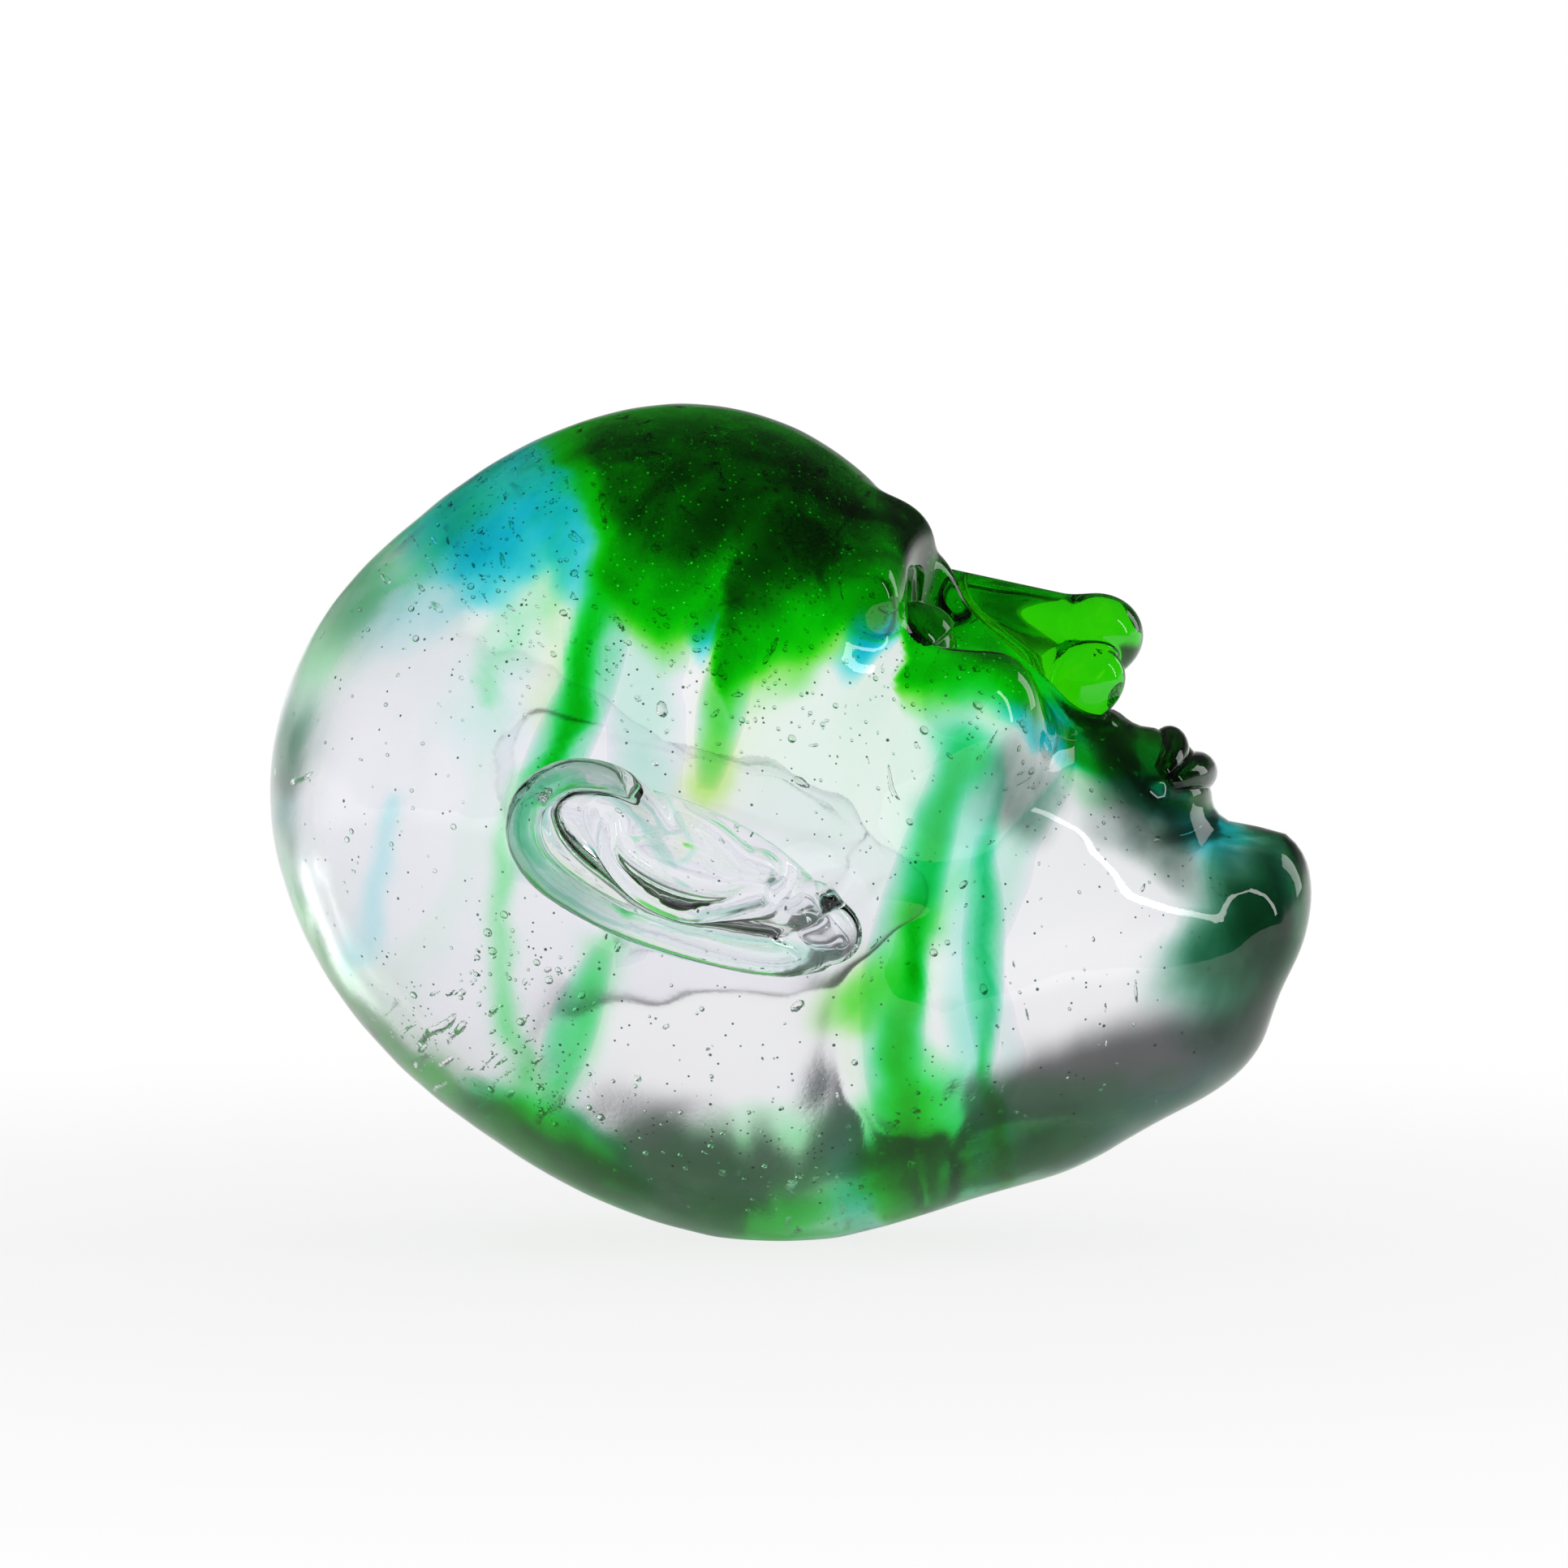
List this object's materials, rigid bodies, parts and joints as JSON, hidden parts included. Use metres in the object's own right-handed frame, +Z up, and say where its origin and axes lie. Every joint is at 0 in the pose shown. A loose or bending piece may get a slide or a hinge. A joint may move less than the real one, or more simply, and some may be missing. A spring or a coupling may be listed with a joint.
{
  "type": "glass head sculpture",
  "caption": "Solid crystal head of a person lying back on a small ground flat, with coloured glass let into the brow, crown and sides.",
  "frame": {"origin": "centre of the bounding box at the ground, under the head", "axes": "+X towards the head's chin end, +Y towards its left side, +Z up; the face looks towards +X and up"},
  "size_m": [0.1984, 0.1474, 0.159],
  "materials": {
    "clear_crystal": "polished clear crystal with seed bubbles",
    "dark_green_glass": "polished dark green crystal",
    "turquoise_glass": "polished turquoise crystal",
    "bright_green_glass": "polished bright green crystal",
    "teal_glass": "polished teal crystal",
    "streak_green_glass": "green trails fused in the crystal"
  },
  "bodies": {
    "root": {"crystal_body": "clear_crystal", "forehead_gather": "dark_green_glass", "crown_gather": "turquoise_glass", "nose": "bright_green_glass", "upper_lip": "dark_green_glass", "lower_lip": "teal_glass", "eyelid_left": "dark_green_glass", "eyelid_right": "dark_green_glass", "ear_left": "clear_crystal", "ear_right": "clear_crystal", "temple_trail_right": "streak_green_glass", "nape_trail_right": "streak_green_glass", "brow_trail_right": "streak_green_glass", "cheek_trail_right": "streak_green_glass", "jaw_trail_right": "streak_green_glass", "temple_trail_left": "streak_green_glass", "cheek_trail_left": "streak_green_glass", "nape_trail_left": "streak_green_glass"}
  },
  "joints": []
}
